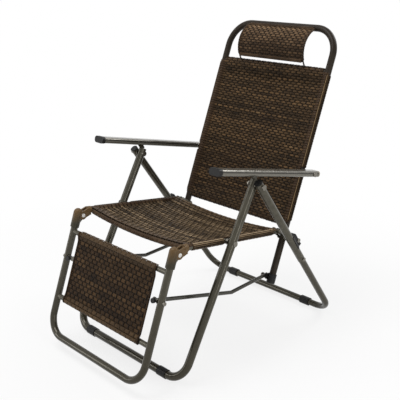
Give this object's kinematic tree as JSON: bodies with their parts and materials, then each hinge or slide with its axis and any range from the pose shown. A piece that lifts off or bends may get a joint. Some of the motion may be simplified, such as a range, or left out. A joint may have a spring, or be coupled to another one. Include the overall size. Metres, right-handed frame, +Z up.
{
  "type": "folding recliner chair",
  "caption": "Folding outdoor recliner with woven slings on bent tube frames, linked footrest and backrest, headrest roll and sliding armrests.",
  "frame": {"origin": "centre of the overall box, on the floor", "axes": "+Z up, front of the chair faces -Y, +X to the sitter's left"},
  "size_m": [0.5996, 0.8722, 0.978],
  "materials": {
    "frame_paint": "satin gloss",
    "rattan": "matte woven",
    "black_plastic": "matte",
    "brown_plastic": "satin",
    "nylon": "satin",
    "hardware": "satin"
  },
  "bodies": {
    "base": {"front_leg_frame": "frame_paint", "front_feet": "black_plastic", "leg_top_plug_left": "frame_paint", "leg_top_plug_right": "frame_paint", "leg_pivot_bolts": "hardware", "leg_spacers": "hardware", "seat_pivot_bolts": "hardware", "seat_spacers": "hardware", "seat_tube_left": "frame_paint", "seat_tube_right": "frame_paint", "seat_front_bar": "frame_paint", "seat_rear_bar": "frame_paint", "seat_weave": "rattan", "seat_knuckle_left": "brown_plastic", "seat_knuckle_right": "brown_plastic", "seat_rear_plates_left": "frame_paint", "seat_rear_plates_right": "frame_paint", "seat_plate_rivets": "hardware", "seat_tube_plugs": "black_plastic", "back_pivot_bolts": "hardware", "rest_rollers": "black_plastic", "hinge_rivets": "hardware", "arm_pins": "hardware"},
    "rear_legs": {"rear_leg_frame": "frame_paint", "rear_leg_tube_left": "frame_paint", "rear_leg_tube_right": "frame_paint", "rear_leg_screws": "hardware", "rear_leg_caps": "black_plastic", "rear_feet": "black_plastic", "rest_hooks": "black_plastic"},
    "backrest": {"backrest_frame": "frame_paint", "backrest_upper_bar": "frame_paint", "backrest_lower_bar": "frame_paint", "backrest_weave": "rattan", "headrest_wires": "frame_paint", "headrest_weave": "rattan", "tail_bracket_left": "black_plastic", "tail_bracket_right": "black_plastic", "link_rear_bolts": "hardware", "arm_pivot_bosses": "hardware"},
    "footrest": {"footrest_frame": "frame_paint", "footrest_upper_bar": "frame_paint", "footrest_lower_bar": "frame_paint", "footrest_weave": "rattan", "foot_knuckle_left": "brown_plastic", "foot_knuckle_right": "brown_plastic", "link_front_bolts": "hardware", "link_spacers": "hardware"},
    "link_rods": {"link_rod_left": "frame_paint", "link_rod_right": "frame_paint", "link_end_caps": "black_plastic"},
    "arm_sliders": {"arm_slider_left": "nylon", "arm_slider_right": "nylon"},
    "armrests": {"armrest_left": "frame_paint", "armrest_right": "frame_paint", "armrest_front_caps": "black_plastic", "armrest_rear_caps": "nylon", "arm_pivot_bolts": "hardware", "arm_racks": "hardware"}
  },
  "joints": [
    {"name": "rear_leg_fold", "type": "hinge", "parent": "base", "child": "rear_legs", "pos_m": [0, -0.00248, 0.55242], "axis": [-1, 0, 0], "range_deg": [0, 60]},
    {"name": "recline", "type": "hinge", "parent": "base", "child": "backrest", "pos_m": [0, 0.18245, 0.33504], "axis": [-1, 0, 0], "range_deg": [0, 35]},
    {"name": "footrest_turn", "type": "hinge", "parent": "base", "child": "footrest", "pos_m": [0, -0.27952, 0.405], "axis": [-1, 0, 0], "range_deg": [0, 35.01]},
    {"name": "link_turn", "type": "hinge", "parent": "footrest", "child": "link_rods", "pos_m": [0, -0.34106, 0.27836], "axis": [-1, 0, 0], "range_deg": [-35.01, 0]},
    {"name": "arm_slider_turn", "type": "hinge", "parent": "base", "child": "arm_sliders", "pos_m": [0, -0.01201, 0.59302], "axis": [-1, 0, 0], "range_deg": [0, 8.39]},
    {"name": "arm_slide", "type": "slide", "parent": "arm_sliders", "child": "armrests", "axis": [0, 0.9785, -0.2064], "range_m": [0, 0.11996]}
  ],
  "couplings": [
    {"joint": "footrest_turn", "follows": "recline", "ratio": 1},
    {"joint": "link_turn", "follows": "recline", "ratio": -1},
    {"joint": "arm_slider_turn", "follows": "recline", "ratio": 0.23931},
    {"joint": "arm_slide", "follows": "recline", "m_per_rad": 0.19622}
  ]
}
